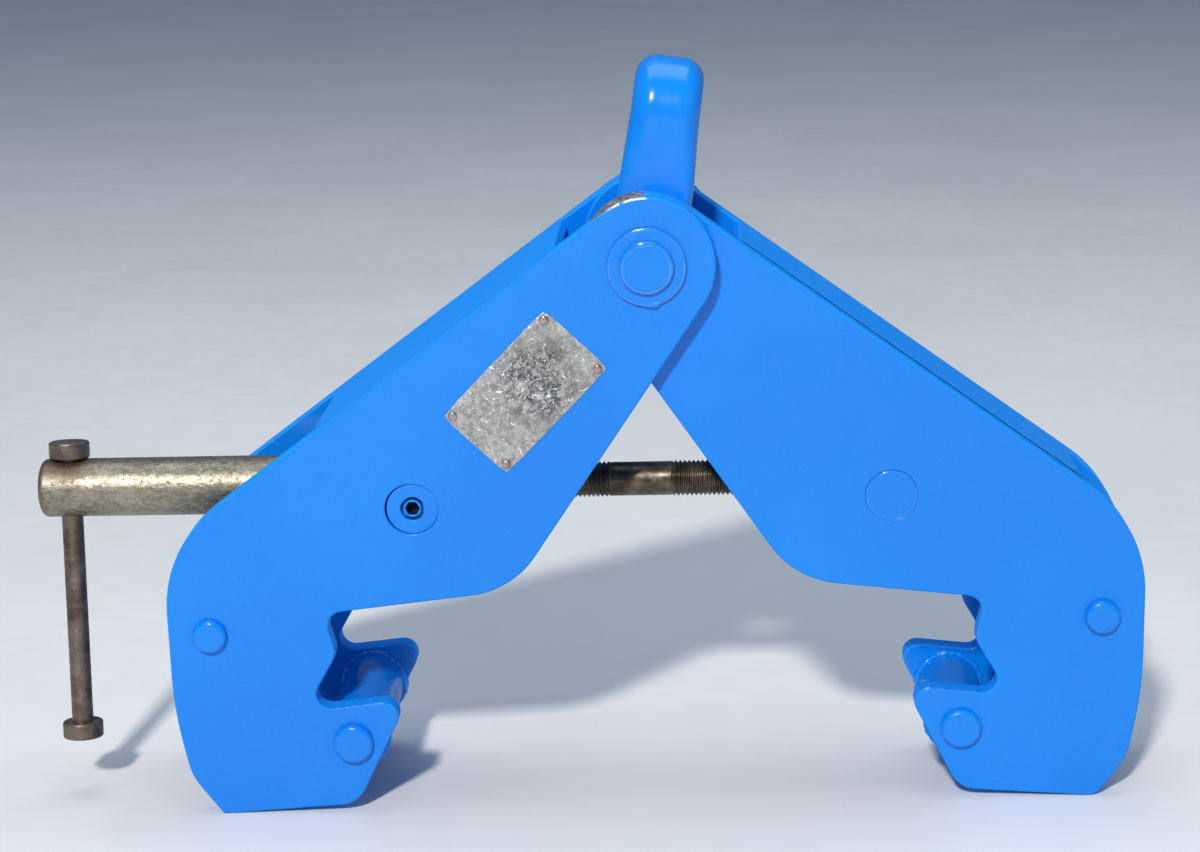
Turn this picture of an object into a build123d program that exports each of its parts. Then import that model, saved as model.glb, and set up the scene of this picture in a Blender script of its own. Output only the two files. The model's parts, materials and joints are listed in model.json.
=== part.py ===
"""Screw-adjusted girder clamp: two hooked arms on one pivot pin, drawn together by a left- and
right-hand screw, with a lifting shackle on the pivot.

Frame: X runs across the clamp, from the handle towards the right arm, Y through the clamp from front
to back with 0 on its middle plane, and Z up with 0 on the floor under the soles. Millimetres.
"""
import os
from math import cos, radians, sin, tan

from build123d import *

# ---- arms: profile-cut plates, two to an arm, the right arm's pair inside the left arm's ----
plate_t = 12.0              # thickness of every arm plate
inner_gap = 58.0            # between the right arm's two plates
side_gap = 0.5              # running gap between a left plate and the right plate beside it
end_r = 36.5                # round end of the plates about the pivot pin
top_slope = 36.2            # top edge, degrees below level
inner_slope = 55.8          # inner edge, degrees below level
heel_reach = 268.5          # pivot to the upright outer edge of the heel
edge_chamfer = 0.8

# ---- pivot ----
pin_d = 25.0
pin_end_d = 26.6            # peened ends that hold the washers
pin_proud = 5.5             # pin end beyond the outermost plate
washer_d = 40.6
washer_t = 2.2
bush_d = 34.0

# ---- screw, at the height of the cross trunnions ----
trunnion_out = 130.0        # pivot to trunnion, along X
trunnion_down = 131.3       # and along Z
trunnion_d = 28.0           # journal in the plates
trunnion_hole_d = 28.6
trunnion_proud = {"left": -1.2, "right": 0.6}    # end faces beyond the plates' faces
hole_wear = {"left": 0.8, "right": 0.0}          # the left arm's holes are worn outwards by this much
nut_d = 38.0                # thicker middle of the trunnion, between the plates
screw_d = 20.0
screw_waist_d = 19.0        # plain length between the two threads
waist_out = (-23.0, 10.0)   # ends of the plain length, from the pivot along X
screw_end = 150.0           # right-hand end of the screw, from the pivot
barrel_d = 33.0
barrel_end_r = 3.5
barrel_start = 155.0        # inner end of the barrel, left of the pivot
barrel_end = 345.5          # outer end of the barrel
screw_in_barrel = 300.0     # the screw stops here, inside the barrel

# ---- tommy bar ----
bar_d = 12.0
bar_length = 171.2
bar_at = 330.0              # cross hole, left of the pivot
bar_turn = 7.5              # the handle rests turned a little, lower end towards the front
knob_d = 22.7
knob_h = 9.6

# ---- rivets and spacers ----
hook_at = (169.0, -266.5)
hook_shank_d = 18.0
hook_head_d = 22.6
hook_spacer_d = 35.0
heel_at = (245.4, -202.2)
heel_shank_d = 14.0
heel_head_d = 19.4
heel_spacer_d = 26.0
head_h = 4.5
head_round = 2.8

# ---- strips that join an arm's two plates along their top edge, measured down the edge ----
strip_t = 6.0
strip_from = 35.0
strip_to = {"left": 200.0, "right": 265.0}   # the left one stops short to let the barrel out

# ---- shackle ----
shackle_lean = 8.3          # degrees from upright, towards the right arm
shackle_t = 17.0            # thickness of lugs and bar
shackle_bar_w = 37.0
shackle_bar_r = 11.5        # rounding of the bar's outer corners
shackle_inner_r = 4.0       # and of its inner ones
shackle_lug_w = 40.0
shackle_eye_d = 47.0
shackle_lug_r = 5.0
shackle_lug_top = 42.0      # the lugs stay flat up to here, clear of the plates
shackle_top = 105.0

# ---- nameplate, blank, on the left front plate ----
name_at = (-66.4, -66.9)
name_size = (80.5, 46.5)
name_tilt = 45.7
name_t = 1.0
name_rivet_pitch = (72.5, 38.9)
name_rivet_d = 3.0
name_head_d = 5.0
name_head_h = 1.3

running = 0.05              # radial clearance of a shaft in its bore
loose = 0.3                 # end clearance between pieces that move past each other

right_mid = inner_gap / 2 + plate_t / 2                 # middle of a right plate, from Y = 0
left_mid = right_mid + plate_t + side_gap
outer_face = left_mid + plate_t / 2
side = {"left": -1, "right": 1}
mid = {"left": left_mid, "right": right_mid}


def top_edge(u):
    """Height of the straight top edge, u out from the pivot."""
    return (end_r - u * sin(radians(top_slope))) / cos(radians(top_slope))


def inner_edge(u):
    """Height of the straight inner edge, u out from the pivot."""
    return -(end_r + u * sin(radians(inner_slope))) / cos(radians(inner_slope))


# The two edges that touch the round end would meet here, far beyond it.
meet_u = -end_r * (cos(radians(top_slope)) + cos(radians(inner_slope))) / sin(radians(inner_slope - top_slope))
inner_corner_u = 77.4
arm_corners = [
    (meet_u, top_edge(meet_u), end_r),                          # round end about the pivot
    (heel_reach, top_edge(heel_reach), 76.0),                   # shoulder
    (heel_reach, -246.5, 220.0),                                # long curve of the heel
    (261.1, -285.9, 35.0),                                      # heel to bevel
    (244.5, -308.6, 1.5),                                       # outer corner of the sole, left arm
    (168.4, -303.4, 16.0),                                      # inner corner of the sole
    (137.1, -241.4, 8.5),                                       # hook tip
    (195.3, -247.8, 8.0),                                       # bottom of the throat
    (176.0, -214.4, 12.0),                                      # bulge in the throat
    (182.2, -190.7, 9.0),                                       # top of the throat
    (inner_corner_u, inner_edge(inner_corner_u), 50.0),         # inside of the elbow
]

sole_corner_r = {"left": 1.5, "right": 9.0}                     # the right arm's corner is dressed rounder

# Closed outlines: straight runs joined by an arc at each corner, tangent to both its neighbours.
arm_outlines = {}
for arm in ("left", "right"):
    corners = [(u, v, r if r > 1.5 else sole_corner_r[arm]) for u, v, r in arm_corners]
    arcs = []
    for i, (u, v, radius) in enumerate(corners):
        corner = Vector(u, v)
        back = (Vector(*corners[i - 1][:2]) - corner).normalized()
        ahead = (Vector(*corners[(i + 1) % len(corners)][:2]) - corner).normalized()
        half_angle = radians(back.get_angle(ahead)) / 2
        reach = radius / tan(half_angle)
        to_middle = corner + (back + ahead).normalized() * (radius / sin(half_angle) - radius)
        arcs.append((corner + back * reach, to_middle, corner + ahead * reach))
    with BuildSketch() as arm_outline:
        with BuildLine():
            for i, arc in enumerate(arcs):
                ThreePointArc(*arc)
                Line(arc[2], arcs[(i + 1) % len(arcs)][0])
        make_face()
    arm_outlines[arm] = arm_outline

pivot_x = (barrel_end - heel_reach) / 2                         # centres the whole clamp on X = 0
pivot_z = -arm_outlines["left"].sketch.bounding_box().min.Y              # puts the soles on Z = 0
screw_z = pivot_z - trunnion_down


def arm_plane(arm, y=0.0):
    """Plane square to Y, at the pivot, whose own x axis points outwards along the given arm."""
    return Plane(origin=(pivot_x, y, pivot_z), x_dir=(side[arm], 0, 0), z_dir=(0, -side[arm], 0))


# ---- plates ----
plates = {}
for arm in ("left", "right"):
    for place, sign in (("front", -1), ("rear", 1)):
        with BuildPart() as plate:
            with BuildSketch(arm_plane(arm, sign * mid[arm])):
                add(arm_outlines[arm].sketch_local)
            extrude(amount=plate_t / 2, both=True)
            rims = plate.faces().filter_by(Axis.Y).edges()
            chamfer(rims, edge_chamfer)
            with BuildSketch(arm_plane(arm, sign * mid[arm])):
                Circle(pin_d / 2 + running)
                with Locations((trunnion_out, -trunnion_down), (trunnion_out + hole_wear[arm], -trunnion_down)):
                    Circle(trunnion_hole_d / 2)
                with Locations(hook_at):
                    Circle(hook_shank_d / 2 + running)
                with Locations(heel_at):
                    Circle(heel_shank_d / 2 + running)
            extrude(amount=plate_t, both=True, mode=Mode.SUBTRACT)
        plate.part.label = f"{arm}_{place}_plate"
        plates[plate.part.label] = plate.part

# ---- blank nameplate and its drive rivets, and their holes in the left front plate ----
front_face = Plane(origin=(pivot_x, -outer_face, pivot_z), x_dir=(1, 0, 0), z_dir=(0, -1, 0))
name_plane = Plane(front_face.location * Location((name_at[0], name_at[1], 0), (0, 0, name_tilt)))

with BuildPart() as nameplate:
    with BuildSketch(name_plane):
        RectangleRounded(*name_size, radius=1.5)
        with GridLocations(*name_rivet_pitch, 2, 2):
            Circle(name_rivet_d / 2 + running, mode=Mode.SUBTRACT)
    extrude(amount=name_t)
nameplate.part.label = "nameplate"

with BuildPart() as nameplate_rivets:
    with BuildSketch(name_plane.offset(-5.0)):
        with GridLocations(*name_rivet_pitch, 2, 2):
            Circle(name_rivet_d / 2)
    extrude(amount=5.0 + name_t)
    with BuildSketch(name_plane.offset(name_t)):
        with GridLocations(*name_rivet_pitch, 2, 2):
            Circle(name_head_d / 2)
    extrude(amount=name_head_h)
    fillet(nameplate_rivets.edges().filter_by(GeomType.CIRCLE).group_by(Axis.Y)[0], name_head_h * 0.8)
nameplate_rivets.part.label = "nameplate_rivets"

with BuildPart() as left_front_plate:
    add(plates["left_front_plate"])
    with BuildSketch(name_plane.offset(-6.0)):
        with GridLocations(*name_rivet_pitch, 2, 2):
            Circle(name_rivet_d / 2 + running)
    extrude(amount=8.0, mode=Mode.SUBTRACT)
left_front_plate.part.label = "left_front_plate"
plates["left_front_plate"] = left_front_plate.part

# ---- strips, spacers and rivets ----
fittings = []
for arm in ("left", "right"):
    clear = 2 * mid[arm] - plate_t                              # between this arm's plates
    over_plates = 2 * mid[arm] + plate_t
    edge_start = Vector(end_r * sin(radians(top_slope)), end_r * cos(radians(top_slope)))
    edge_along = Vector(cos(radians(top_slope)), -sin(radians(top_slope)))
    strip_middle = edge_start + edge_along * ((strip_from + strip_to[arm]) / 2)
    inward = Vector(-sin(radians(top_slope)), -cos(radians(top_slope)))
    strip_centre = strip_middle + inward * (strip_t / 2)

    with BuildPart() as strip:
        with BuildSketch(arm_plane(arm)):
            with Locations(Location((strip_centre.X, strip_centre.Y, 0), (0, 0, -top_slope))):
                Rectangle(strip_to[arm] - strip_from, strip_t)
        extrude(amount=clear / 2, both=True)
        chamfer(strip.edges().filter_by(Axis.Y), 0.6)
    strip.part.label = f"{arm}_top_strip"
    fittings.append(strip.part)

    for place, at, shank_d, head_d, spacer_d in (
        ("hook", hook_at, hook_shank_d, hook_head_d, hook_spacer_d),
        ("heel", heel_at, heel_shank_d, heel_head_d, heel_spacer_d),
    ):
        with BuildPart() as spacer:
            with BuildSketch(arm_plane(arm)):
                with Locations(at):
                    Circle(spacer_d / 2)
                    Circle(shank_d / 2 + running, mode=Mode.SUBTRACT)
            extrude(amount=clear / 2, both=True)
        spacer.part.label = f"{arm}_{place}_spacer"
        fittings.append(spacer.part)

        with BuildPart() as rivet:
            with BuildSketch(arm_plane(arm)):
                with Locations(at):
                    Circle(shank_d / 2)
            extrude(amount=over_plates / 2, both=True)
            for end in (-1, 1):
                with BuildSketch(arm_plane(arm, end * (over_plates + head_h) / 2)):
                    with Locations(at):
                        Circle(head_d / 2)
                extrude(amount=head_h / 2, both=True)
            rims = rivet.edges().filter_by(GeomType.CIRCLE).group_by(Axis.Y)
            fillet(rims[0] + rims[-1], head_round)
        rivet.part.label = f"{arm}_{place}_rivet"
        fittings.append(rivet.part)

# ---- pivot pin, washers and bush ----
pivot_plane = arm_plane("right")

with BuildPart() as main_pin:
    with BuildSketch(pivot_plane):
        Circle(pin_d / 2)
    extrude(amount=outer_face + loose + washer_t, both=True)
    with BuildSketch(pivot_plane.offset(outer_face + loose + washer_t)):
        Circle(pin_end_d / 2)
    extrude(amount=pin_proud - loose - washer_t)
    with BuildSketch(pivot_plane.offset(-outer_face - pin_proud)):
        Circle(pin_end_d / 2)
    extrude(amount=pin_proud - loose - washer_t)
    rims = main_pin.edges().filter_by(GeomType.CIRCLE).group_by(Axis.Y)
    chamfer(rims[0] + rims[-1], 1.2)
main_pin.part.label = "main_pin"

washers = []
for place, sign in (("front", -1), ("rear", 1)):
    with BuildPart() as washer:
        with BuildSketch(arm_plane("right", sign * (outer_face + loose + washer_t / 2))):
            Circle(washer_d / 2)
            Circle(pin_d / 2 + running, mode=Mode.SUBTRACT)
        extrude(amount=washer_t / 2, both=True)
        rims = washer.edges().filter_by(GeomType.CIRCLE).sort_by(SortBy.RADIUS)[-2:]
        chamfer(rims, 0.6)
    washer.part.label = f"pivot_washer_{place}"
    washers.append(washer.part)

lug_inside = inner_gap / 2 - loose - shackle_t                  # lugs start here, from Y = 0

with BuildPart() as pivot_bush:
    with BuildSketch(pivot_plane):
        Circle(bush_d / 2)
        Circle(pin_d / 2 + running, mode=Mode.SUBTRACT)
    extrude(amount=lug_inside - loose, both=True)
pivot_bush.part.label = "pivot_bush"

# ---- shackle: a forged U of flattened bar whose two flat lugs hang on the pivot pin ----
lean = radians(shackle_lean)
bow_up = Vector(sin(lean), 0, cos(lean))
bow_across = Vector(cos(lean), 0, -sin(lean))
pivot = Vector(pivot_x, 0, pivot_z)
lug_mid = lug_inside + shackle_t / 2
bow_centre = shackle_top - lug_mid - shackle_t / 2              # centre of the bow, above the pin

with BuildPart() as shackle:
    for sign in (-1, 1):
        lug_centre = pivot + Vector(0, sign * lug_mid, 0)
        with BuildPart(mode=Mode.PRIVATE) as lug:
            with BuildSketch(Plane(origin=lug_centre, x_dir=bow_across, z_dir=(0, -1, 0))) as lug_outline:
                Circle(shackle_eye_d / 2)
                with Locations((0, shackle_lug_top / 2)):
                    Rectangle(shackle_lug_w, shackle_lug_top)
                fillet(lug_outline.vertices().filter_by_position(Axis.Y, 10.0, 15.0), 30.0)
            extrude(amount=shackle_t / 2, both=True)
            rims = lug.faces().filter_by(Axis.Y).edges() - lug.faces().sort_by(Axis(pivot, bow_up))[-1].edges()
            fillet(rims, shackle_lug_r)
        add(lug.part)
        with BuildSketch(Plane(origin=lug_centre + bow_up * shackle_lug_top, x_dir=bow_across, z_dir=bow_up)):
            RectangleRounded(shackle_lug_w, shackle_t, radius=shackle_lug_r)
        with BuildSketch(Plane(origin=lug_centre + bow_up * bow_centre, x_dir=bow_across, z_dir=bow_up)) as bar:
            Rectangle(shackle_bar_w, shackle_t)
            outer = bar.vertices().group_by(Axis.Y)[(sign + 1) // -2]
            inner = bar.vertices().group_by(Axis.Y)[(1 - sign) // -2]
            fillet(outer, shackle_bar_r)
            fillet(inner, shackle_inner_r)
        loft()
    add(bar.sketch)
    revolve(axis=Axis(origin=pivot + bow_up * bow_centre, direction=bow_across), revolution_arc=180)
    with BuildSketch(pivot_plane):
        Circle(pin_d / 2 + running)
    extrude(amount=inner_gap, both=True, mode=Mode.SUBTRACT)
shackle.part.label = "shackle"

# ---- trunnions: cross nuts that turn in the plates ----
trunnions = []
for arm in ("left", "right"):
    journal_half = mid[arm] + plate_t / 2 + trunnion_proud[arm]
    nut_half = mid[arm] - plate_t / 2 - loose
    with BuildPart() as trunnion:
        with BuildSketch(arm_plane(arm)):
            with Locations((trunnion_out, -trunnion_down)):
                Circle(trunnion_d / 2)
        extrude(amount=journal_half, both=True)
        chamfer(trunnion.edges().filter_by(GeomType.CIRCLE), 0.8)
        with BuildSketch(arm_plane(arm)):
            with Locations((trunnion_out, -trunnion_down)):
                Circle(nut_d / 2)
        extrude(amount=nut_half, both=True)
        with BuildSketch(Plane(origin=(pivot_x, 0, screw_z), z_dir=(1, 0, 0))):
            Circle(screw_d / 2 + running)
        extrude(amount=2 * trunnion_out, both=True, mode=Mode.SUBTRACT)
        if arm == "left":
            with BuildSketch(arm_plane(arm, -journal_half)):
                with Locations((trunnion_out, -trunnion_down)):
                    Circle(6.6)
            extrude(amount=4.0, mode=Mode.SUBTRACT)
            with BuildSketch(arm_plane(arm, -journal_half)):
                with Locations((trunnion_out, -trunnion_down)):
                    Circle(5.0 + running)
            extrude(amount=journal_half, mode=Mode.SUBTRACT)
    trunnion.part.label = f"{arm}_trunnion"
    trunnions.append(trunnion.part)

with BuildPart() as trunnion_set_screw:
    with BuildSketch(arm_plane("left", -outer_face + 1.6)):
        with Locations((trunnion_out, -trunnion_down)):
            Circle(5.0)
    extrude(amount=16.0)
    chamfer(trunnion_set_screw.edges().filter_by(GeomType.CIRCLE).group_by(Axis.Y)[0], 0.4)
    with BuildSketch(arm_plane("left", -outer_face + 1.6)):
        with Locations((trunnion_out, -trunnion_down)):
            RegularPolygon(radius=3.6, side_count=6, major_radius=False)
    extrude(amount=7.0, mode=Mode.SUBTRACT)
trunnion_set_screw.part.label = "trunnion_set_screw"

# ---- screw, handle barrel and tommy bar ----
with BuildPart() as spindle:
    for start, end, diameter in (
        (-screw_in_barrel, waist_out[0], screw_d),
        (waist_out[0], waist_out[1], screw_waist_d),
        (waist_out[1], screw_end, screw_d),
    ):
        with BuildSketch(Plane(origin=(pivot_x + start, 0, screw_z), z_dir=(1, 0, 0))):
            Circle(diameter / 2)
        extrude(amount=end - start)
    chamfer(spindle.edges().filter_by(GeomType.CIRCLE).sort_by(Axis.X)[-1], 1.5)
spindle.part.label = "spindle"

bar_point = Vector(pivot_x - bar_at, 0, screw_z)
bar_down = Vector(0, -sin(radians(bar_turn)), -cos(radians(bar_turn)))

with BuildPart() as handle_barrel:
    with BuildSketch(Plane(origin=(pivot_x - barrel_end, 0, screw_z), z_dir=(1, 0, 0))):
        Circle(barrel_d / 2)
    extrude(amount=barrel_end - barrel_start)
    fillet(handle_barrel.edges().filter_by(GeomType.CIRCLE).sort_by(Axis.X)[0], barrel_end_r)
    chamfer(handle_barrel.edges().filter_by(GeomType.CIRCLE).sort_by(Axis.X)[-1], 1.2)
    with BuildSketch(Plane(origin=(pivot_x - screw_in_barrel - loose, 0, screw_z), z_dir=(1, 0, 0))):
        Circle(screw_d / 2 + running)
    extrude(amount=screw_in_barrel, mode=Mode.SUBTRACT)
    with BuildSketch(Plane(origin=bar_point, x_dir=(1, 0, 0), z_dir=bar_down)):
        Circle(bar_d / 2 + loose)
    extrude(amount=barrel_d, both=True, mode=Mode.SUBTRACT)
handle_barrel.part.label = "handle_barrel"

# The upper knob rests on the barrel, so the bar hangs down.
upper_knob_at = bar_point - bar_down * (barrel_d / 2 + loose)
lower_knob_at = upper_knob_at + bar_down * (bar_length - 2 * knob_h)

with BuildPart() as tommy_rod:
    with BuildSketch(Plane(origin=upper_knob_at, x_dir=(1, 0, 0), z_dir=bar_down)):
        Circle(bar_d / 2)
    extrude(amount=bar_length - 2 * knob_h)
tommy_rod.part.label = "tommy_rod"

knobs = []
for name, at, outwards in (
    ("tommy_knob_upper", upper_knob_at, bar_down * -1),
    ("tommy_knob_lower", lower_knob_at, bar_down),
):
    with BuildPart() as knob:
        with BuildSketch(Plane(origin=at, x_dir=(1, 0, 0), z_dir=outwards)):
            Circle(knob_d / 2)
        extrude(amount=knob_h)
        fillet(knob.edges().filter_by(GeomType.CIRCLE), 1.4)
    knob.part.label = name
    knobs.append(knob.part)

pieces = [
    *plates.values(), *fittings, *washers, *trunnions, *knobs,
    nameplate.part, nameplate_rivets.part, main_pin.part, pivot_bush.part, shackle.part,
    trunnion_set_screw.part, spindle.part, handle_barrel.part, tommy_rod.part,
]
os.makedirs("parts", exist_ok=True)
for piece in pieces:
    export_step(piece, f"parts/{piece.label}.step")

print("pivot", round(pivot_x, 3), round(pivot_z, 3), "screw height", round(screw_z, 3), "pieces", len(pieces))
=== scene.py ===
"""Looks for the screw-adjusted girder clamp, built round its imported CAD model. Metres, in the CAD's frame."""
import json
from math import cos, pi, radians, sin

import bmesh
import bpy
from mathutils import Matrix, Vector, noise


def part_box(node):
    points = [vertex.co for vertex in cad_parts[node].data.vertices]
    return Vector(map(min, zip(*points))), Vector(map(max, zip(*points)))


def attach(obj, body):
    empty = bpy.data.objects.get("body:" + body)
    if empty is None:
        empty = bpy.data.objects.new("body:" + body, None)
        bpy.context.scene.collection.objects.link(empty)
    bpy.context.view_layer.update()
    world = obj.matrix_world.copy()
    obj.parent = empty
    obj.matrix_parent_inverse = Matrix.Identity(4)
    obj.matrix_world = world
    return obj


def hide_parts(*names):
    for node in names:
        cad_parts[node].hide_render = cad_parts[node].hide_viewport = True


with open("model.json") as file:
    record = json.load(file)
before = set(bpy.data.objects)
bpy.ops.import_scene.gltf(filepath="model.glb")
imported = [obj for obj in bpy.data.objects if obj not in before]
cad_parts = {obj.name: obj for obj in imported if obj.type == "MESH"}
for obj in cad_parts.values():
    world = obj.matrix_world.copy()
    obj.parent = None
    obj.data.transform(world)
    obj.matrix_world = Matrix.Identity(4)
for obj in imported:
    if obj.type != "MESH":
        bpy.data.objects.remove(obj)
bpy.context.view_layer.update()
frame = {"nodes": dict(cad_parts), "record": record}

nodes = frame["nodes"]


# ---------------------------------------------------------------- places, all from the frame
def middle(node):
    low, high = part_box(node)
    return (low + high) / 2


def half(node):
    low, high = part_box(node)
    return (high - low) / 2


pivot = middle("main_pin")
screw = middle("spindle")
left_front_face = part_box("left_front_plate")[0].y

# ---------------------------------------------------------------- camera
YAW, PITCH, ROLL = radians(-2.401), radians(14.881), radians(-1.583)
CAMERA_FROM_PIVOT = Vector((0.0252, -1.2946, 0.2438))
FOCAL_LENGTH_MM, SENSOR_WIDTH_MM = 72, 36

ahead = Vector((sin(YAW) * cos(PITCH), cos(YAW) * cos(PITCH), -sin(PITCH)))
level = Vector((cos(YAW), -sin(YAW), 0))
upward = level.cross(ahead)
right = level * cos(ROLL) + upward * sin(ROLL)
above = upward * cos(ROLL) - level * sin(ROLL)
camera_data = bpy.data.cameras.new("camera")
camera_data.lens = FOCAL_LENGTH_MM
camera_data.sensor_width = SENSOR_WIDTH_MM
camera = bpy.data.objects.new("camera", camera_data)
bpy.context.collection.objects.link(camera)
turn = Matrix((right, above, -ahead)).transposed().to_4x4()
camera.matrix_world = Matrix.Translation(pivot + CAMERA_FROM_PIVOT) @ turn
bpy.context.scene.camera = camera
bpy.context.scene.view_settings.view_transform = "Standard"


# ---------------------------------------------------------------- lights
LIT_POINT = Vector((0, 0, 0.2))
WARM, COOL, COOLER = (1.0, 0.97, 0.93), (0.90, 0.95, 1.0), (0.88, 0.94, 1.0)
SKY_COLOUR, SKY_STRENGTH = (0.36, 0.52, 0.80, 1), 0.32


def area_light(name, at, size, power, colour):
    """A rectangular light at a point, turned towards the clamp."""
    data = bpy.data.lights.new(name, "AREA")
    data.shape = "RECTANGLE"
    data.size, data.size_y = size
    data.energy = power
    data.color = colour
    light = bpy.data.objects.new(name, data)
    bpy.context.collection.objects.link(light)
    light.location = at
    light.rotation_euler = (LIT_POINT - Vector(at)).to_track_quat("-Z", "Y").to_euler()


area_light("key", at=(-0.82, -3.85, 3.28), size=(0.38, 0.38), power=228, colour=WARM)
area_light("top", at=(0.0, 0.3, 2.6), size=(2.2, 1.6), power=27, colour=COOLER)
area_light("fill", at=(1.9, -1.6, 1.2), size=(1.8, 1.4), power=4, colour=COOL)

world = bpy.data.worlds.new("studio")
bpy.context.scene.world = world
world.use_nodes = True
sky = world.node_tree.nodes["Background"].inputs
sky["Color"].default_value = SKY_COLOUR
sky["Strength"].default_value = SKY_STRENGTH


# ---------------------------------------------------------------- node helpers
# Of a Mix node set to colour: the places of factor, A and B among its inputs, and of its result.
MIX_COLOUR_SOCKETS = 0, 6, 7, 2


def opaque(value):
    """A plain colour with its alpha added; anything else as it is."""
    return (*value, 1) if isinstance(value, tuple) and len(value) == 3 else value


class Nodes:
    """A small builder for a material's node tree."""

    def __init__(self, name):
        self.material = bpy.data.materials.new(name)
        self.material.use_nodes = True
        self.tree = self.material.node_tree
        self.shader = self.tree.nodes["Principled BSDF"]
        coordinates = self.tree.nodes.new("ShaderNodeTexCoord")
        self.place = coordinates.outputs["Object"]

    def link(self, out, into):
        self.tree.links.new(out, into)

    def set(self, **values):
        for key, value in values.items():
            self.shader.inputs[key.replace("_", " ")].default_value = value

    def give(self, socket, value):
        if isinstance(value, (int, float, tuple)):
            socket.default_value = value
        else:
            self.link(value, socket)

    def math(self, operation, a, b=0.0):
        node = self.tree.nodes.new("ShaderNodeMath")
        node.operation = operation
        self.give(node.inputs[0], a)
        self.give(node.inputs[1], b)
        return node.outputs[0]

    def product(self, first, *others):
        for other in others:
            first = self.math("MULTIPLY", first, other)
        return first

    def total(self, a, b):
        return self.math("ADD", a, b)

    def difference(self, a, b):
        return self.math("SUBTRACT", a, b)

    def vector(self, operation, a, b=(0, 0, 0)):
        node = self.tree.nodes.new("ShaderNodeVectorMath")
        node.operation = operation
        self.give(node.inputs[0], a)
        self.give(node.inputs[1], b)
        return node.outputs["Value" if operation in ("DOT_PRODUCT", "LENGTH") else "Vector"]

    def noise(self, scale, detail=3.0, rough=0.55, stretch=(1, 1, 1), distort=0.0):
        node = self.tree.nodes.new("ShaderNodeTexNoise")
        node.inputs["Scale"].default_value = scale
        node.inputs["Detail"].default_value = detail
        node.inputs["Roughness"].default_value = rough
        node.inputs["Distortion"].default_value = distort
        mapping = self.tree.nodes.new("ShaderNodeMapping")
        mapping.inputs["Scale"].default_value = stretch
        self.link(self.place, mapping.inputs["Vector"])
        self.link(mapping.outputs[0], node.inputs["Vector"])
        return node.outputs["Fac"]

    def ramp(self, value, low, high, start=0.0, end=1.0):
        """A smooth step from start, where value is low, to end, where it is high. Low may be above high."""
        node = self.tree.nodes.new("ShaderNodeMapRange")
        node.interpolation_type = "SMOOTHSTEP"
        self.give(node.inputs["Value"], value)
        node.inputs["From Min"].default_value = low
        node.inputs["From Max"].default_value = high
        node.inputs["To Min"].default_value = start
        node.inputs["To Max"].default_value = end
        return node.outputs[0]

    def mix(self, amount, a, b):
        """Colour a where amount is 0, colour b where it is 1."""
        node = self.tree.nodes.new("ShaderNodeMix")
        node.data_type = "RGBA"
        factor, first, second, result = MIX_COLOUR_SOCKETS
        self.give(node.inputs[factor], amount)
        self.give(node.inputs[first], opaque(a))
        self.give(node.inputs[second], opaque(b))
        return node.outputs[result]

    def bump(self, height, depth, below=None):
        """Normal for a height of 0 to 1 that stands for depth metres."""
        node = self.tree.nodes.new("ShaderNodeBump")
        node.inputs["Distance"].default_value = depth
        node.inputs["Strength"].default_value = 1.0
        self.link(height, node.inputs["Height"])
        if below is not None:
            self.link(below, node.inputs["Normal"])
        return node.outputs[0]

    def round_edges(self, radius):
        node = self.tree.nodes.new("ShaderNodeBevel")
        node.samples = 6
        node.inputs["Radius"].default_value = radius
        return node.outputs[0]

    def edges(self, radius):
        """1 on an edge, 0 away from it."""
        geometry = self.tree.nodes.new("ShaderNodeNewGeometry")
        facing = self.vector("DOT_PRODUCT", self.round_edges(radius), geometry.outputs["True Normal"])
        return self.ramp(facing, 0.995, 0.80)

    def past(self, point, way):
        """How far a place lies beyond a point, along a way."""
        return self.vector("DOT_PRODUCT", self.vector("SUBTRACT", self.place, tuple(point)), way)

    def distance_to(self, point):
        return self.vector("LENGTH", self.vector("SUBTRACT", self.place, tuple(point)))

    def finish(self, colour, roughness, normal=None, metallic=0.0):
        self.give(self.shader.inputs["Base Color"], opaque(colour))
        self.give(self.shader.inputs["Roughness"], roughness)
        self.give(self.shader.inputs["Metallic"], metallic)
        if normal is not None:
            self.link(normal, self.shader.inputs["Normal"])
        return self.material


# ---------------------------------------------------------------- materials
BLUE = (0.002, 0.215, 0.76)
BLUE_DEEP = (0.001, 0.195, 0.71)
BLUE_DUSTY = (0.10, 0.36, 0.86)
BLUE_THIN = (0.05, 0.34, 0.92)
# A lighter blue painted on the plates' rims and the strips, as painted light falling on faces that turn up.
BLUE_RIM_PAINTED_LIGHT = (0.010, 0.285, 0.90)
RUSTED, STEEL, RUBBED = (0.115, 0.062, 0.045), (0.30, 0.215, 0.175), (0.66, 0.58, 0.50)
# Near white: a painted glint along the front lip of the worn patch.
LIP_PAINTED_GLINT = (0.95, 0.93, 0.90)

# The patch worn bare on the left arm's round end. Along runs round the end from the arm's top edge to the
# crown, outwards is square to that, and both start at the pivot.
PATCH_ALONG, PATCH_OUTWARDS = (0.91, 0, 0.415), (-0.415, 0, 0.91)


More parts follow.
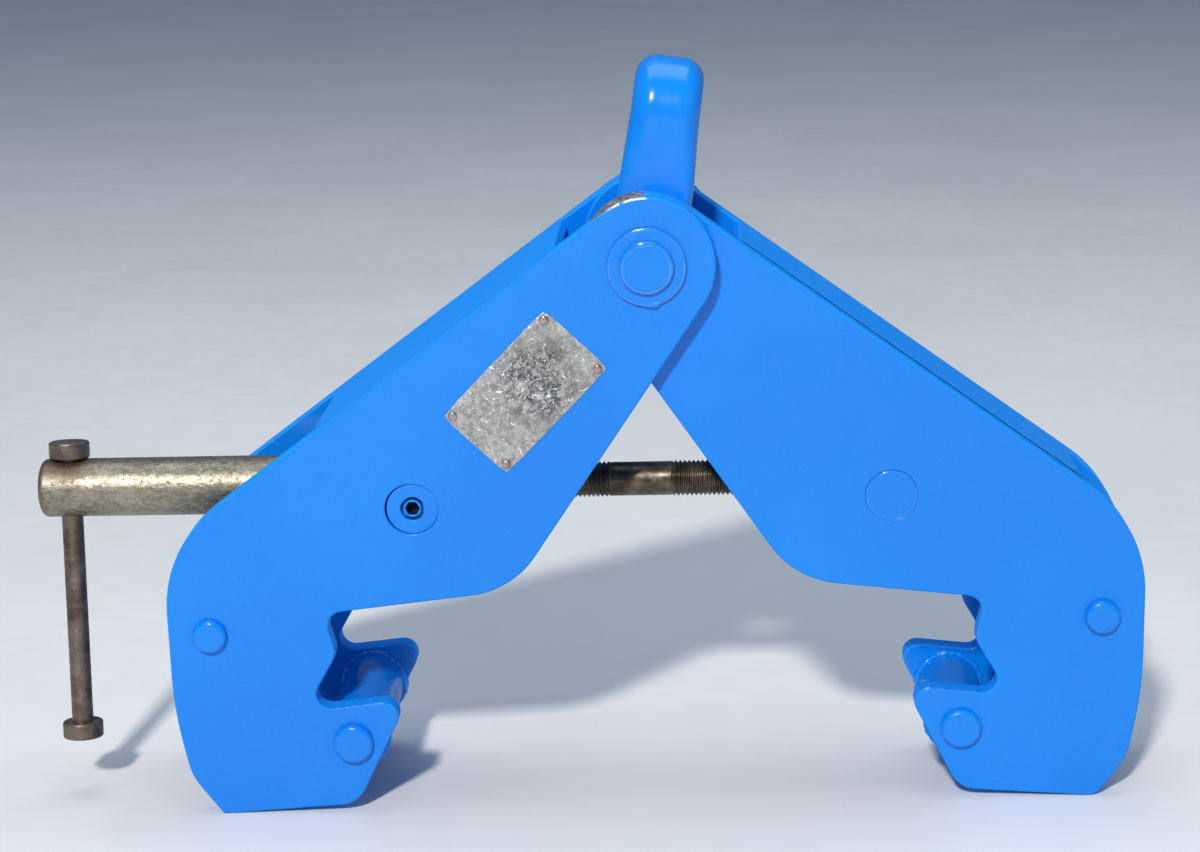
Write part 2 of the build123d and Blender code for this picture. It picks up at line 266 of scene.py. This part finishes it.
def worn_patch(m, on_rim):
    """How bare of paint the round end's rim is, and where a painted glint lies along the lip at its front edge.
    """
    ragged = m.product(m.difference(m.noise(190, 4, 0.7), 0.5), 0.005)
    along = m.total(m.past(pivot, PATCH_ALONG), ragged)
    depth = m.past(pivot, (0, 1, 0))
    round_end = m.product(on_rim, m.ramp(m.past(pivot, PATCH_OUTWARDS), 0.0250, 0.0265))
    ends = m.product(m.ramp(along, -0.0190, -0.0165), m.ramp(along, 0.0170, 0.0115))
    # the bare steel starts nearest the front face in the patch's middle, and thins out both ways
    widening = m.product(m.ramp(m.math("ABSOLUTE", m.difference(along, -0.003)), 0.019, 0.005), 0.0055)
    start = m.ramp(m.total(depth, widening), left_front_face + 0.0074, left_front_face + 0.0082)
    stop = m.ramp(depth, left_front_face + 0.0235, left_front_face + 0.0220)
    lip_depth = m.ramp(depth, left_front_face + 0.0026, left_front_face + 0.0012)
    lip_ends = m.product(m.ramp(along, -0.010, 0.001), m.ramp(along, 0.0165, 0.0130))
    broken = m.ramp(m.noise(330, 3, 0.6), 0.36, 0.50)
    return m.product(round_end, ends, start, stop), m.product(round_end, lip_depth, lip_ends, broken)


def enamel(name, dull_rim_and_painted_light=False, bare_patch=False, wet=False):
    """Thick glossy brushed-on enamel over steel. A bare patch needs a dull rim, as a cut plate has; the rim
    also gets a lighter blue, painted light for faces that turn up.
    """
    m = Nodes(name)
    colour = m.mix(m.ramp(m.noise(7, 2), 0.35, 0.68), BLUE_DEEP, BLUE)
    dust = m.ramp(m.noise(420, 2, 0.7), 0.70, 0.80, 0.0, 0.35)
    colour = m.mix(dust, colour, BLUE_DUSTY)
    colour = m.mix(m.product(m.edges(0.0018), 0.30), colour, BLUE_THIN)
    roughness = m.ramp(m.noise(60, 4, 0.6), 0.3, 0.75, *((0.09, 0.15) if wet else (0.17, 0.33)))
    normal = m.round_edges(0.0012)
    normal = m.bump(m.noise(26, 2), 0.0011, normal)
    normal = m.bump(m.noise(170, 3, 0.5, stretch=(1, 1, 0.55)), 0.00022, normal)
    normal = m.bump(m.noise(900, 2), 0.00003, normal)
    metallic = 0.0
    m.set(IOR=1.5, Coat_Weight=0.10, Coat_Roughness=0.08, Specular_IOR_Level=0.35)
    if wet:
        m.set(Coat_Weight=0.8, Specular_IOR_Level=0.6)
    if dull_rim_and_painted_light:
        geometry = m.tree.nodes.new("ShaderNodeNewGeometry")
        flat = m.math("ABSOLUTE", m.vector("DOT_PRODUCT", geometry.outputs["True Normal"], (0, 1, 0)))
        on_rim = m.ramp(flat, 0.93, 0.80)
        # painted light: the rims and strips get a lighter blue, so they look as brightly lit as the front faces
        colour = m.mix(m.product(on_rim, 0.9), colour, BLUE_RIM_PAINTED_LIGHT)
        roughness = m.total(roughness, m.product(on_rim, 0.25))
        m.give(m.shader.inputs["Specular IOR Level"], m.ramp(flat, 0.80, 0.93, 0.06, 0.35))
        m.give(m.shader.inputs["Coat Weight"], m.ramp(flat, 0.80, 0.93, 0.0, 0.10))
    if bare_patch:
        bare, lip_glint = worn_patch(m, on_rim)
        steel = m.mix(m.ramp(m.noise(600, 4, 0.7), 0.35, 0.65), RUSTED, STEEL)
        rubbed = m.ramp(m.noise(420, 3, 0.7, stretch=(1, 0.5, 1)), 0.46, 0.60)
        steel = m.mix(m.product(rubbed, 0.55), steel, RUBBED)
        # a painted glint, broken into dots, along the lip at the patch's front edge
        colour = m.mix(lip_glint, m.mix(bare, colour, steel), LIP_PAINTED_GLINT)
        roughness = m.total(roughness, m.product(bare, 0.10))
        metallic = m.product(bare, 0.6)
        normal = m.bump(m.product(bare, -1.0), 0.00012, normal)
    return m.finish(colour, roughness, normal, metallic)


def socket_paint_with_painted_shade():
    """Enamel that darkens to near black deeper in the set screw's socket: painted shade in the recess."""
    m = Nodes("blue_enamel_socket")
    depth = m.past((0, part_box("trunnion_set_screw")[0].y, 0), (0, 1, 0))
    # painted shade: darker with depth into the socket
    colour = m.mix(m.ramp(depth, 0.0003, 0.0016), BLUE, (0.0, 0.012, 0.045))
    m.set(Specular_IOR_Level=0.25)
    return m.finish(colour, m.ramp(depth, 0.0003, 0.0016, 0.2, 0.7), m.round_edges(0.0004))


def paint_crack_shade():
    """Painted shade: the dark inside of a fine crack in the enamel, drawn as a dark line."""
    m = Nodes("paint_crack_shade")
    m.set(Specular_IOR_Level=0.05)
    return m.finish((0.0, 0.035, 0.17), 0.8)


def worn_barrel():
    """Tarnished bar stock: brown-grey and mottled, finely pitted, with rubbed bright patches and rust."""
    m = Nodes("barrel_steel")
    patches = m.ramp(m.noise(34, 6, 0.72, stretch=(0.7, 1, 1)), 0.36, 0.66)
    colour = m.mix(patches, (0.165, 0.145, 0.098), (0.320, 0.292, 0.218))
    green = m.ramp(m.noise(16, 3), 0.45, 0.70)
    colour = m.mix(m.product(green, 0.35), colour, (0.19, 0.20, 0.13))
    grain = m.ramp(m.noise(640, 4, 0.75, stretch=(0.55, 1, 1)), 0.42, 0.62)
    colour = m.mix(m.product(grain, 0.38), colour, (0.52, 0.49, 0.41))
    spots = m.ramp(m.noise(330, 4, 0.75), 0.56, 0.66)
    colour = m.mix(m.product(spots, 0.35), colour, (0.095, 0.070, 0.045))
    # a rust stain round the cross hole, under the upper knob, and another on the outer end
    hole_mouth = Vector((middle("tommy_rod").x, screw.y, screw.z + half("handle_barrel").z))
    from_hole = m.total(m.distance_to(hole_mouth), m.product(m.noise(70, 4, 0.6), 0.020))
    rust = m.product(m.ramp(from_hole, 0.034, 0.018), 0.75)
    colour = m.mix(rust, colour, (0.125, 0.060, 0.038))
    from_end = m.past(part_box("handle_barrel")[0], (1, 0, 0))
    from_end = m.total(from_end, m.product(m.noise(90, 3, 0.6), 0.006))
    end_rust = m.product(m.ramp(from_end, 0.0085, 0.0045), 0.55)
    colour = m.mix(end_rust, colour, (0.16, 0.085, 0.055))
    colour = m.mix(m.product(m.edges(0.0012), 0.4), colour, (0.60, 0.54, 0.46))
    roughness = m.ramp(m.noise(110, 5, 0.75, stretch=(0.5, 1, 1)), 0.3, 0.7, 0.29, 0.47)
    roughness = m.total(roughness, m.product(rust, 0.15))
    normal = m.round_edges(0.0006)
    normal = m.bump(m.noise(42, 3), 0.0009, normal)
    normal = m.bump(m.noise(460, 5, 0.7, stretch=(0.5, 1, 1)), 0.00024, normal)
    normal = m.bump(spots, -0.00008, normal)
    return m.finish(colour, roughness, normal, 0.80)


def stained_metal(name, base, light, spot, rough):
    """Handled metal between two colours in patches, with spots, and brighter on its edges."""
    m = Nodes(name)
    patches = m.ramp(m.noise(60, 5, 0.65), 0.36, 0.66)
    colour = m.mix(patches, base, light)
    spots = m.ramp(m.noise(420, 3, 0.7), 0.58, 0.72)
    colour = m.mix(m.product(spots, 0.65), colour, spot)
    colour = m.mix(m.product(m.edges(0.0008), 0.45), colour, tuple(min(1, 2.3 * c) for c in light))
    roughness = m.ramp(m.noise(140, 4, 0.7), 0.3, 0.7, *rough)
    normal = m.round_edges(0.0005)
    normal = m.bump(m.noise(210, 4, 0.6), 0.00022, normal)
    normal = m.bump(spots, -0.00005, normal)
    return m.finish(colour, roughness, normal, 0.85)


# Each layer of scratches: its noise's scale and curl, a scratch's half width in that noise, and the scale of
# the patches that the layer lies in.
SCRATCHES = (
    (48, 3.4, 0.0085, 30),
    (85, 3.6, 0.0100, 45),
    (150, 2.2, 0.013, 70),
    (250, 1.6, 0.015, 100),
)


def scratches(m):
    """1 on curling scratches: the lines where a noise passes its middle value."""
    result = None
    for scale, curl, width, patch_scale in SCRATCHES:
        off_line = m.math("ABSOLUTE", m.difference(m.noise(scale, 1.0, 0.5, distort=curl), 0.5))
        patch = m.ramp(m.noise(patch_scale, 2), 0.45, 0.53)
        line = m.product(m.ramp(off_line, width, width * 0.3), patch)
        result = line if result is None else m.math("MAXIMUM", result, line)
    return result


def scratched_aluminium():
    """Thin plate, stained and worn in its middle, rubbed with curling scratches, clean along its rim."""
    m = Nodes("plate_aluminium")
    blotch = m.ramp(m.noise(150, 6, 0.75, distort=0.9), 0.40, 0.60)
    colour = m.mix(blotch, (0.29, 0.285, 0.272), (0.47, 0.465, 0.445))
    worn_centre = middle("nameplate") + Vector((0.006, 0, 0.006))
    from_worn = m.total(m.distance_to(worn_centre), m.product(m.noise(60, 4, 0.6), 0.022))
    stain = m.product(m.ramp(m.noise(170, 6, 0.78, distort=1.4), 0.45, 0.54), m.ramp(from_worn, 0.040, 0.022))
    colour = m.mix(m.product(stain, 0.9), colour, (0.036, 0.041, 0.054))
    freckle = m.ramp(m.noise(520, 3, 0.7), 0.58, 0.66)
    colour = m.mix(m.product(freckle, 0.55), colour, (0.11, 0.105, 0.10))
    scratch = scratches(m)
    colour = m.mix(m.product(scratch, 0.95), colour, (0.93, 0.93, 0.91))
    colour = m.mix(m.product(m.edges(0.0007), 0.8), colour, (0.86, 0.86, 0.84))
    roughness = m.ramp(m.noise(260, 4, 0.75), 0.3, 0.7, 0.34, 0.62)
    normal = m.round_edges(0.0004)
    normal = m.bump(m.noise(110, 5, 0.7, distort=1.0), 0.0006, normal)
    normal = m.bump(m.noise(420, 4, 0.7, distort=1.0), 0.00022, normal)
    normal = m.bump(scratch, -0.00012, normal)
    return m.finish(colour, roughness, normal, 0.55)


painted = enamel("blue_enamel")
painted_plate = enamel("blue_enamel_plate", dull_rim_and_painted_light=True)
painted_worn = enamel("blue_enamel_worn_rim", dull_rim_and_painted_light=True, bare_patch=True)
wet_paint = enamel("blue_enamel_thick", wet=True)
crack_painted_shade = paint_crack_shade()
barrel_steel = worn_barrel()
screw_steel = stained_metal(
    "screw_steel",
    base=(0.050, 0.040, 0.028),
    light=(0.16, 0.13, 0.09),
    spot=(0.015, 0.011, 0.008),
    rough=(0.28, 0.50),
)
bar_steel = stained_metal(
    "bar_steel",
    base=(0.105, 0.075, 0.058),
    light=(0.235, 0.185, 0.150),
    spot=(0.045, 0.030, 0.022),
    rough=(0.36, 0.58),
)
copper = stained_metal(
    "copper_rivet",
    base=(0.27, 0.185, 0.15),
    light=(0.60, 0.50, 0.44),
    spot=(0.12, 0.07, 0.055),
    rough=(0.20, 0.36),
)
aluminium = scratched_aluminium()


def put(material, *names):
    """Gives CAD nodes a material in place of their packed one."""
    for name in names:
        slots = nodes[name].material_slots
        for slot in slots:
            slot.material = material
        if not slots:
            nodes[name].data.materials.append(material)


look_of_slot = {
    "blue_enamel": painted,
    "barrel_steel": barrel_steel,
    "screw_steel": screw_steel,
    "bar_steel": bar_steel,
    "plate_aluminium": aluminium,
    "copper_rivet": copper,
}
for subpart in frame["record"]["subparts"]:
    put(look_of_slot[subpart["material_slot"]], subpart["node"])
put(painted_plate, "left_rear_plate", "right_rear_plate", "left_top_strip", "right_top_strip")
put(painted_worn, "left_front_plate", "right_front_plate")
put(socket_paint_with_painted_shade(), "trunnion_set_screw")


# ---------------------------------------------------------------- mesh helpers
def new_object(name, verts, faces, material, body, smooth_below):
    """A closed mesh that rides on a body, smooth where its faces meet at less than smooth_below degrees."""
    mesh = bpy.data.meshes.new(name)
    mesh.from_pydata([tuple(v) for v in verts], [], faces)
    mesh.validate()
    work = bmesh.new()
    work.from_mesh(mesh)
    bmesh.ops.recalc_face_normals(work, faces=work.faces)
    work.to_mesh(mesh)
    work.free()
    for polygon in mesh.polygons:
        polygon.use_smooth = True
    mesh.set_sharp_from_angle(angle=radians(smooth_below))
    obj = bpy.data.objects.new(name, mesh)
    bpy.context.collection.objects.link(obj)
    mesh.materials.append(material)
    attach(obj, body)
    return obj


def skin(rings, around, closed=False):
    """Faces between rings of verts, each ring with the same count, and over both ends unless it is closed."""
    faces = []
    for i in range(rings if closed else rings - 1):
        j = (i + 1) % rings
        for k in range(around):
            n = (k + 1) % around
            faces.append((i * around + k, i * around + n, j * around + n, j * around + k))
    if not closed:
        faces.append(tuple(range(around)))
        faces.append(tuple(range((rings - 1) * around, rings * around)))
    return faces


# ---------------------------------------------------------------- threaded spindle
THREAD_PITCH, THREAD_DEPTH = 0.0025, 0.0012
THREAD_CREST, THREAD_FLANK = 0.10, 0.72      # widths, as shares of half a pitch
THREAD_RUN_OUT = 0.002
WAIST_REACH = 0.023, 0.010                   # plain length, left and right of the pivot
WAIST_RELIEF = 0.0005                        # the waist's surface below the thread's crests
END_CHAMFER = 0.0015
SPINDLE_AROUND, RINGS_PER_TURN = 40, 10


def between_0_and_1(value):
    return min(1.0, max(0.0, value))


def thread_spindle():
    """The spindle with its threads cut: left-hand on the left, right-hand on the right, plain between."""
    low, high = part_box("spindle")
    radius = half("spindle").z
    waist_start, waist_end = pivot.x - WAIST_REACH[0], pivot.x + WAIST_REACH[1]
    xs = []
    x = low.x
    while x < high.x:
        xs.append(x)
        x += THREAD_PITCH / RINGS_PER_TURN
    xs.append(high.x)
    verts = []
    for x in xs:
        hand = -1 if x < waist_start else 1
        into_thread = waist_start - x if x < pivot.x else x - waist_end
        full_thread = between_0_and_1(into_thread / THREAD_RUN_OUT)
        full_size = between_0_and_1(min(high.x - x, x - low.x) / END_CHAMFER)
        for k in range(SPINDLE_AROUND):
            angle = 2 * pi * k / SPINDLE_AROUND
            phase = (x / THREAD_PITCH - hand * angle / (2 * pi)) % 1.0
            from_crest = abs(phase - 0.5) * 2
            cut = THREAD_DEPTH * between_0_and_1((from_crest - THREAD_CREST) / THREAD_FLANK)
            r = radius - WAIST_RELIEF + (WAIST_RELIEF - cut) * full_thread - END_CHAMFER * (1 - full_size)
            verts.append((x, screw.y + r * sin(angle), screw.z + r * cos(angle)))
    faces = skin(len(xs), SPINDLE_AROUND)
    obj = new_object("threaded_spindle", verts, faces, screw_steel, "screw", smooth_below=60)
    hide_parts("spindle")


thread_spindle()

# ---------------------------------------------------------------- beads of weld and paint
SIDE = {"left": -1, "right": 1}
STRIP_SLOPE, STRIP_THICKNESS = radians(36.2), 0.006
BEAD_AROUND = 10
BEAD_TAPER_RINGS = 3
BEAD_STEP = 0.0009


def straight(start, end, step):
    """Points from start to end, about a step apart."""
    steps = int((end - start).length / step)
    return [start.lerp(end, i / steps) for i in range(steps + 1)]


def circle(centre, radius, steps):
    """Points round a circle that lies square to Y."""
    turns = [2 * pi * i / steps for i in range(steps)]
    return [centre + Vector((cos(turn), 0, sin(turn))) * radius for turn in turns]


def rippled_tube(name, points, radius, material, body, ripple, closed=False, rough=0.22):
    """A bead along points: a tube whose radius swells and shrinks, as laid weld metal or run paint does."""
    verts = []
    last = len(points) - 1
    run = 0.0
    for i, point in enumerate(points):
        after = points[(i + 1) % len(points)] if closed or i < last else point
        before = points[i - 1] if closed or i > 0 else point
        way = (after - before).normalized()
        side = way.cross(Vector((0.13, 0.94, 0.31))).normalized()
        top = way.cross(side).normalized()
        if i:
            run += (point - points[i - 1]).length
        wave = 0.5 + 0.5 * cos(2 * pi * run / ripple)
        swell = 1 - 0.7 * rough + rough * (0.7 * wave + noise.noise(point * 210))
        if not closed:
            swell *= min(1.0, 0.35 + 0.65 * min(i, last - i) / BEAD_TAPER_RINGS)
        for k in range(BEAD_AROUND):
            angle = 2 * pi * k / BEAD_AROUND
            verts.append(point + (side * cos(angle) + top * sin(angle)) * radius * swell)
    faces = skin(len(points), BEAD_AROUND, closed)
    new_object(name, verts, faces, material, body, smooth_below=70)


def strip_edges(arm):
    """A strip's lower and upper long edges, each from its pivot end, and the way out square to the strip."""
    low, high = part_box(f"{arm}_top_strip")
    inner_x, outer_x = (low.x, high.x) if SIDE[arm] > 0 else (high.x, low.x)
    out = Vector((SIDE[arm] * sin(STRIP_SLOPE), 0, cos(STRIP_SLOPE)))
    thick = out * STRIP_THICKNESS
    lower = Vector((inner_x, 0, high.z - thick.z)), Vector((outer_x - thick.x, 0, low.z))
    upper = lower[0] + thick, lower[1] + thick
    return lower, upper, out


WELD_RIPPLE = 0.0042
STRIP_WELD_RADIUS, STRIP_WELD_STEP = 0.0031, 0.0007
STRIP_WELD_INSET, STRIP_WELD_END_GAP = 0.0008, 0.004
SPACER_WELD_RADIUS, SPACER_WELD_STEP = 0.0024, 0.0008
SPACER_WELD_INSET, SPACER_WELD_GAP = 0.0006, 0.0003


def strip_welds(arm):
    """Fillet welds in the two inner corners under the strip that joins an arm's plates."""
    (start, end), _, out = strip_edges(arm)
    gap = (end - start).normalized() * STRIP_WELD_END_GAP
    under = -out * STRIP_WELD_INSET
    low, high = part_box(f"{arm}_top_strip")
    for place, y in (("front", low.y + STRIP_WELD_INSET), ("rear", high.y - STRIP_WELD_INSET)):
        across = Vector((0, y, 0))
        points = straight(start + gap + under + across, end - gap + under + across, STRIP_WELD_STEP)
        name = f"{arm}_strip_weld_{place}"
        rippled_tube(name, points, STRIP_WELD_RADIUS, painted, f"{arm}_arm", WELD_RIPPLE)


def spacer_welds(arm, spacer):
    """A ring of weld round each end of a spacer, where it meets the plates."""
    reach = half(spacer)
    girth = 2 * pi * reach.x
    ripple = girth / round(girth / WELD_RIPPLE)
    for place, sign in (("front", -1), ("rear", 1)):
        centre = middle(spacer) + Vector((0, sign * (reach.y - SPACER_WELD_INSET), 0))
        ring = circle(centre, reach.x + SPACER_WELD_GAP, int(girth / SPACER_WELD_STEP))
        name = f"{spacer}_weld_{place}"
        rippled_tube(name, ring, SPACER_WELD_RADIUS, painted, f"{arm}_arm", ripple, closed=True)


def seam(name, arm, material, y, lift, radius, ripple):
    """A fine line along the top edge of an arm's front plate, where the strip meets it."""
    _, (start, end), out = strip_edges(arm)
    shift = out * lift + Vector((0, y, 0))
    points = straight(start + shift, end + shift, BEAD_STEP)
    rippled_tube(name, points, radius, material, f"{arm}_arm", ripple)


crack_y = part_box("right_top_strip")[0].y
ridge_y = left_front_face + 0.0008
# The right seam's dark line is painted shade: a thin dark tube standing for the crack's shadowed inside.
seam("right_seam_crack_shade", "right", crack_painted_shade, crack_y, lift=0.00002, radius=0.00042, ripple=0.02)
seam("left_seam_ridge", "left", painted, ridge_y, lift=-0.0003, radius=0.00055, ripple=0.0031)

for arm in SIDE:
    strip_welds(arm)
    spacer_welds(arm, f"{arm}_hook_spacer")
    spacer_welds(arm, f"{arm}_heel_spacer")

# Paint built up round circular edges: node, body, the ring's radius, its bead's radius, and how far the ring
# lies behind the node's front.
PAINT_RIMS = (
    ("main_pin", "pivot", 0.01276, 0.0018, 0.0017),
    ("pivot_washer_front", "pivot", half("pivot_washer_front").x - 0.0003, 0.0011, 0.0010),
    ("right_trunnion", "right_cross_nut", 0.0135, 0.0007, 0.0007),
    ("left_trunnion", "left_cross_nut", 0.0135, 0.0007, 0.0007),
)

for node, body, radius, bead, behind in PAINT_RIMS:
    centre = middle(node)
    centre.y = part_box(node)[0].y + behind
    girth = 2 * pi * radius
    ring = circle(centre, radius, int(girth / BEAD_STEP))
    rippled_tube(f"{node}_paint_rim", ring, bead, wet_paint, body, ripple=girth / 3, closed=True, rough=0.06)

# The ends of a jaw seat, out and up from the pivot.
SEAT_OUTER, SEAT_INNER = (0.1845, -0.24661), (0.1490, -0.24271)
SEAT_BEAD_RADIUS, EDGE_SET_BACK = 0.0009, 0.0006


def seat_bead(arm):
    """Paint that has run together along the front edge of a jaw seat."""
    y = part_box(f"{arm}_front_plate")[0].y + EDGE_SET_BACK
    start, end = (
        Vector((pivot.x + SIDE[arm] * out, y, pivot.z + up - EDGE_SET_BACK))
        for out, up in (SEAT_OUTER, SEAT_INNER)
    )
    points = straight(start, end, BEAD_STEP)
    name = f"{arm}_seat_paint_bead"
    rippled_tube(name, points, SEAT_BEAD_RADIUS, wet_paint, f"{arm}_arm", ripple=0.012, rough=0.15)


seat_bead("left")
seat_bead("right")

SAG_HALF_SIZE = 0.0048, 0.0013, 0.0015
SAG_FROM_WASHER = 0.0022, 0.0012, -0.0003     # from the washer's middle, its front face and its lowest point
SAG_WAVE, SAG_WAVES_PER_RADIUS, SAG_SEED = 0.16, 1.7, 50


def paint_sag():
    """A sag of thick paint under the front washer: a rounded lump, wavy all over."""
    washer_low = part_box("pivot_washer_front")[0]
    at = Vector((pivot.x, washer_low.y, washer_low.z)) + Vector(SAG_FROM_WASHER)
    work = bmesh.new()
    bmesh.ops.create_icosphere(work, subdivisions=4, radius=1.0)
    verts = []
    for v in work.verts:
        swell = 1 + SAG_WAVE * noise.noise(v.co * SAG_WAVES_PER_RADIUS + at * SAG_SEED)
        verts.append(at + v.co * Vector(SAG_HALF_SIZE) * swell)
    faces = [tuple(v.index for v in f.verts) for f in work.faces]
    work.free()
    new_object("washer_paint_sag", verts, faces, painted, "pivot", smooth_below=80)


paint_sag()


# ---------------------------------------------------------------- nameplate, thin and dented
SHEET_LENGTH, SHEET_WIDTH, SHEET_TILT = 0.0805, 0.0465, radians(45.7)
SHEET_COLUMNS, SHEET_ROWS = 80, 46
CORNER_SHRINK = 0.10
RIM_WOBBLE, BROAD_DENT, FINE_DENT, RIM_TURNED_IN = 0.00022, 0.00030, 0.00012, 0.00035
BACK_GAP = 0.00002


def sheet_point(u, v, front, at, low, high):
    """A place on the sheet, for u along it and v across it, each from -1 to 1."""
    along = Vector((cos(SHEET_TILT), 0, sin(SHEET_TILT)))
    across = Vector((-sin(SHEET_TILT), 0, cos(SHEET_TILT)))
    rim = max(abs(u), abs(v))
    shrink = 1 - CORNER_SHRINK * max(0.0, abs(u) + abs(v) * 0.9 - 1.62)
    point = at + along * (u * shrink * SHEET_LENGTH / 2) + across * (v * shrink * SHEET_WIDTH / 2)
    if rim == 1:
        point += (along * u + across * v) * RIM_WOBBLE * noise.noise(point * 260)
    dent = BROAD_DENT * max(0.0, noise.noise(point * 75)) + FINE_DENT * abs(noise.noise(point * 260))
    dent *= min(1.0, 6 * (1 - rim) + 0.15)
    turned_in = RIM_TURNED_IN * max(0.0, (rim - 0.95) / 0.05)
    point.y = low.y + dent + turned_in if front else high.y - BACK_GAP
    return point


def dented_nameplate():
    """A thin sheet with dents over its front, a wavy rim that turns in a little and blunted corners."""
    low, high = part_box("nameplate")
    at = middle("nameplate")
    verts = [
        sheet_point(i / SHEET_COLUMNS * 2 - 1, j / SHEET_ROWS * 2 - 1, front, at, low, high)
        for front in (True, False)
        for j in range(SHEET_ROWS + 1)
        for i in range(SHEET_COLUMNS + 1)
    ]
    row = SHEET_COLUMNS + 1
    back = row * (SHEET_ROWS + 1)
    faces = []
    for j in range(SHEET_ROWS):
        for i in range(SHEET_COLUMNS):
            a = j * row + i
            faces.append((a, a + 1, a + 1 + row, a + row))
            faces.append((back + a, back + a + row, back + a + 1 + row, back + a + 1))
    border = list(range(row))
    border += [j * row + SHEET_COLUMNS for j in range(1, SHEET_ROWS + 1)]
    border += [SHEET_ROWS * row + i for i in range(SHEET_COLUMNS - 1, -1, -1)]
    border += [j * row for j in range(SHEET_ROWS - 1, 0, -1)]
    for a, b in zip(border, border[1:] + border[:1]):
        faces.append((a, b, b + back, a + back))
    sheet = new_object("nameplate_sheet", verts, faces, aluminium, "left_arm", smooth_below=50)
    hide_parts("nameplate")


dented_nameplate()

# ---------------------------------------------------------------- floor
FLOOR_REACH = 9.0


def pale_floor():
    m = Nodes("floor")
    colour = m.mix(m.ramp(m.noise(3, 3), 0.3, 0.7), (0.77, 0.765, 0.74), (0.82, 0.815, 0.79))
    roughness = m.ramp(m.noise(40, 3), 0.3, 0.7, 0.55, 0.70)
    return m.finish(colour, roughness, m.bump(m.noise(300, 2), 0.0001))


corners = [(x * FLOOR_REACH, y * FLOOR_REACH, 0) for x, y in ((-1, -1), (1, -1), (1, 1), (-1, 1))]
floor_mesh = bpy.data.meshes.new("floor")
floor_mesh.from_pydata(corners, [], [(0, 1, 2, 3)])
floor_mesh.materials.append(pale_floor())
floor = bpy.data.objects.new("floor", floor_mesh)
bpy.context.collection.objects.link(floor)
